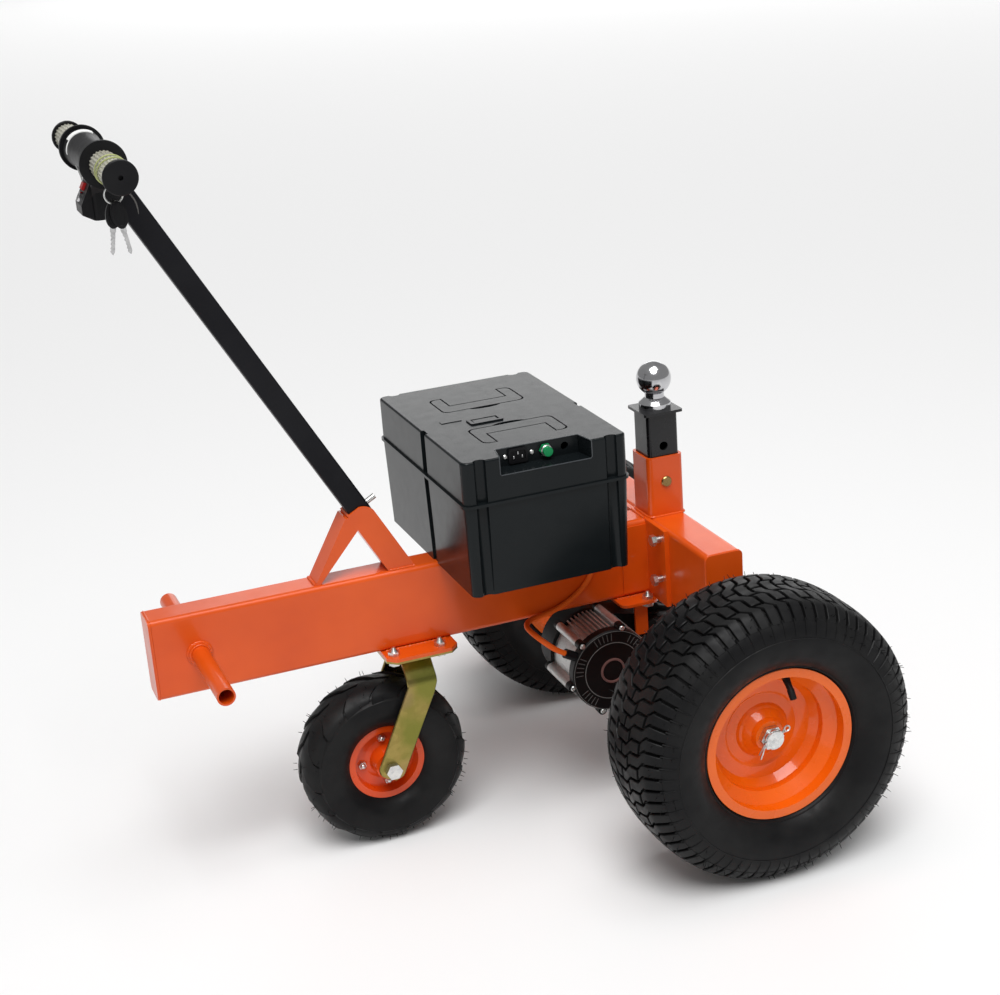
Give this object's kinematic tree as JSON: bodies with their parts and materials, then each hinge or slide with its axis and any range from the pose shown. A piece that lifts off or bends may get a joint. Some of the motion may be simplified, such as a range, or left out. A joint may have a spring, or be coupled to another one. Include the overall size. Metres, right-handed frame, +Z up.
{
  "type": "electric trailer dolly",
  "caption": "Walk-behind electric dolly for moving trailers: driven axle, battery box on a beam, hitch ball post, swivel caster and angled control handle.",
  "frame": {"origin": "on the ground, midway between the front of the handle's head and the back of the rear tyres, on the centre plane", "axes": "+X from the nose and handle towards the hitch, +Y to the left, +Z up"},
  "size_m": [0.9577, 0.815, 1.0523],
  "materials": {
    "orange_paint": "glossy",
    "rim_paint": "glossy",
    "black_paint": "satin",
    "chrome": "polished",
    "zinc": "bright zinc",
    "yellow_zinc": "yellow passivated",
    "black_plastic": "semi-gloss",
    "grip": "ribbed",
    "red_plastic": "glossy",
    "lock": "polished",
    "green_plastic": "glossy",
    "aluminium": "cast",
    "cable": "sheathed",
    "tyre": "rubber"
  },
  "bodies": {
    "chassis": {"main_beam": "orange_paint", "caster_mount": "orange_paint", "push_bar": "orange_paint", "beam_flange": "orange_paint", "cross_member": "orange_paint", "end_caps": "orange_paint", "hitch_receiver": "orange_paint", "handle_socket": "orange_paint", "handle_brace": "orange_paint", "axle_bracket": "orange_paint", "hitch_post": "black_paint", "handle_tube": "black_paint", "handlebar": "black_paint", "transaxle": "black_paint", "hitch_ball": "chrome", "frame_bolts": "zinc", "handle_pin": "zinc", "keys": "zinc", "caster_plate": "yellow_zinc", "battery_case": "black_plastic", "battery_lid": "black_plastic", "lid_handles": "black_plastic", "throttle_housing": "black_plastic", "switch_box": "black_plastic", "motor_cover": "black_plastic", "motor_gland": "black_plastic", "charge_inlet": "black_plastic", "grip_ends": "black_plastic", "batteries": "black_plastic", "grips": "grip", "power_rocker": "red_plastic", "key_lock": "lock", "breaker_button": "green_plastic", "motor_housing": "aluminium", "motor_cable": "cable"},
    "caster_fork": {"caster_fork": "yellow_zinc", "caster_axle": "zinc"},
    "caster_wheel": {"caster_tyre": "tyre", "caster_rim": "rim_paint"},
    "left_wheel": {"left_tyre": "tyre", "left_rim": "rim_paint", "left_shaft": "zinc"},
    "right_wheel": {"right_tyre": "tyre", "right_rim": "rim_paint", "right_shaft": "zinc"}
  },
  "joints": [
    {"name": "left_wheel_spin", "type": "hinge", "parent": "chassis", "child": "left_wheel", "pos_m": [0.2757, 0.325, 0.203], "axis": [0, 1, 0], "continuous": true},
    {"name": "right_wheel_spin", "type": "hinge", "parent": "chassis", "child": "right_wheel", "pos_m": [0.2757, -0.325, 0.203], "axis": [0, 1, 0], "continuous": true},
    {"name": "caster_swivel", "type": "hinge", "parent": "chassis", "child": "caster_fork", "pos_m": [-0.1073, 0, 0.28], "axis": [0, 0, 1], "continuous": true},
    {"name": "caster_wheel_spin", "type": "hinge", "parent": "caster_fork", "child": "caster_wheel", "pos_m": [-0.1623, 0, 0.122], "axis": [0, 1, 0], "continuous": true}
  ]
}
